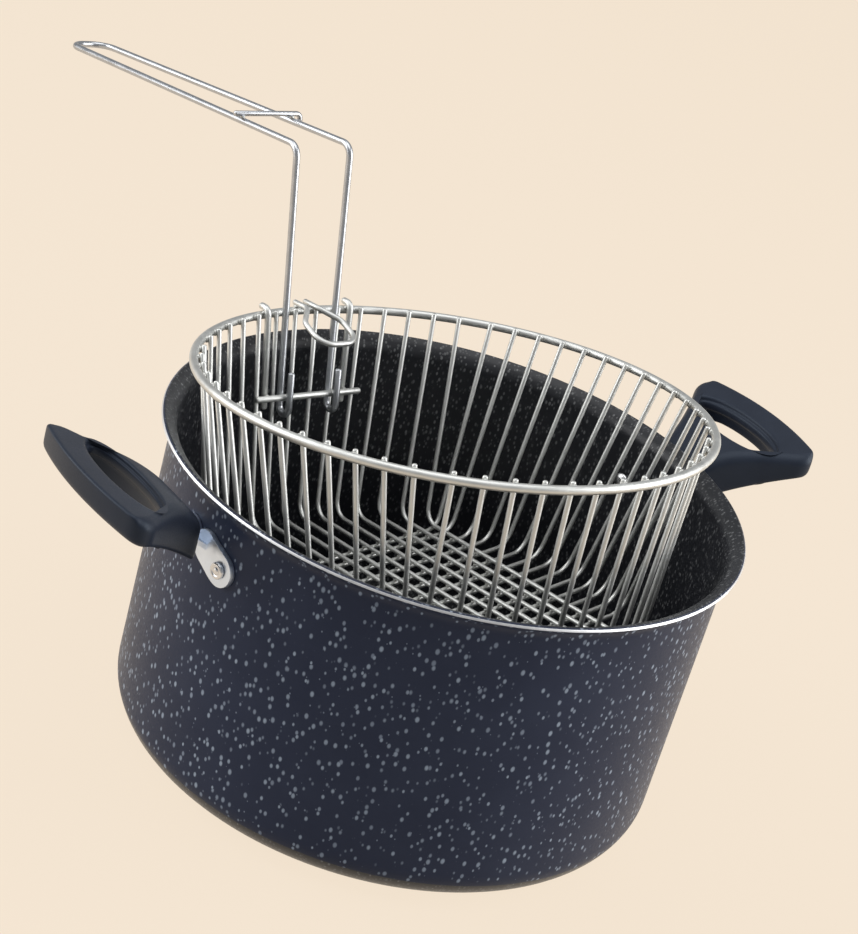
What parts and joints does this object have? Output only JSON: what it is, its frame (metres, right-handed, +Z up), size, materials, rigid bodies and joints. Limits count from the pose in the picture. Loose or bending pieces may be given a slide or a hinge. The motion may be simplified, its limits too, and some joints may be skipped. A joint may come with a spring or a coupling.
{
  "type": "deep fry pot",
  "caption": "Round coated pot with two loop side handles and a lifted wire frying basket whose wire handle folds inwards.",
  "frame": {"origin": "centre of the pot's flat underside", "axes": "+Z up, the pot's side handles along X, the basket's handle towards +Y"},
  "size_m": [0.359, 0.4472, 0.2244],
  "materials": {
    "speckled_coating": "dark blue-grey speckled non-stick coating with a bare edge at the lip",
    "handle_resin": "satin black moulded phenolic resin",
    "bracket_steel": "bright stamped steel",
    "rivet_metal": "bright rivet head",
    "screw_steel": "plain zinc-plated steel",
    "basket_wire": "tinned steel wire"
  },
  "bodies": {
    "pot": {"pot_body": "speckled_coating", "left_handle": "handle_resin", "left_bracket": "bracket_steel", "left_handle_screw": "screw_steel", "left_rivet_a": "rivet_metal", "left_rivet_b": "rivet_metal", "right_handle": "handle_resin", "right_bracket": "bracket_steel", "right_handle_screw": "screw_steel", "right_rivet_a": "rivet_metal", "right_rivet_b": "rivet_metal"},
    "basket": {"basket_ring": "basket_wire", "basket_wire_lower_01": "basket_wire", "basket_wire_lower_02": "basket_wire", "basket_wire_lower_03": "basket_wire", "basket_wire_lower_04": "basket_wire", "basket_wire_lower_05": "basket_wire", "basket_wire_lower_06": "basket_wire", "basket_wire_lower_07": "basket_wire", "basket_wire_lower_08": "basket_wire", "basket_wire_lower_09": "basket_wire", "basket_wire_lower_10": "basket_wire", "basket_wire_lower_11": "basket_wire", "basket_wire_lower_12": "basket_wire", "basket_wire_lower_13": "basket_wire", "basket_wire_lower_14": "basket_wire", "basket_wire_upper_01": "basket_wire", "basket_wire_upper_02": "basket_wire", "basket_wire_upper_03": "basket_wire", "basket_wire_upper_04": "basket_wire", "basket_wire_upper_05": "basket_wire", "basket_wire_upper_06": "basket_wire", "basket_wire_upper_07": "basket_wire", "basket_wire_upper_08": "basket_wire", "basket_wire_upper_09": "basket_wire", "basket_wire_upper_10": "basket_wire", "basket_wire_upper_11": "basket_wire", "basket_wire_upper_12": "basket_wire", "basket_wire_upper_13": "basket_wire", "basket_wire_upper_14": "basket_wire", "handle_crossbar": "basket_wire", "left_hanger": "basket_wire", "right_hanger": "basket_wire", "keeper_loop": "basket_wire"},
    "folding_handle": {"basket_handle": "basket_wire", "handle_brace": "basket_wire"}
  },
  "joints": [
    {"name": "basket_lift", "type": "slide", "parent": "pot", "child": "basket", "axis": [-0.05, 0.2246, 0.9732], "range_m": [-0.052, 0.1]},
    {"name": "handle_fold", "type": "hinge", "parent": "basket", "child": "folding_handle", "pos_m": [-0.00844, 0.09726, 0.11731], "axis": [0.9984, 0.0558, 0], "range_deg": [-3.5, 95]}
  ]
}
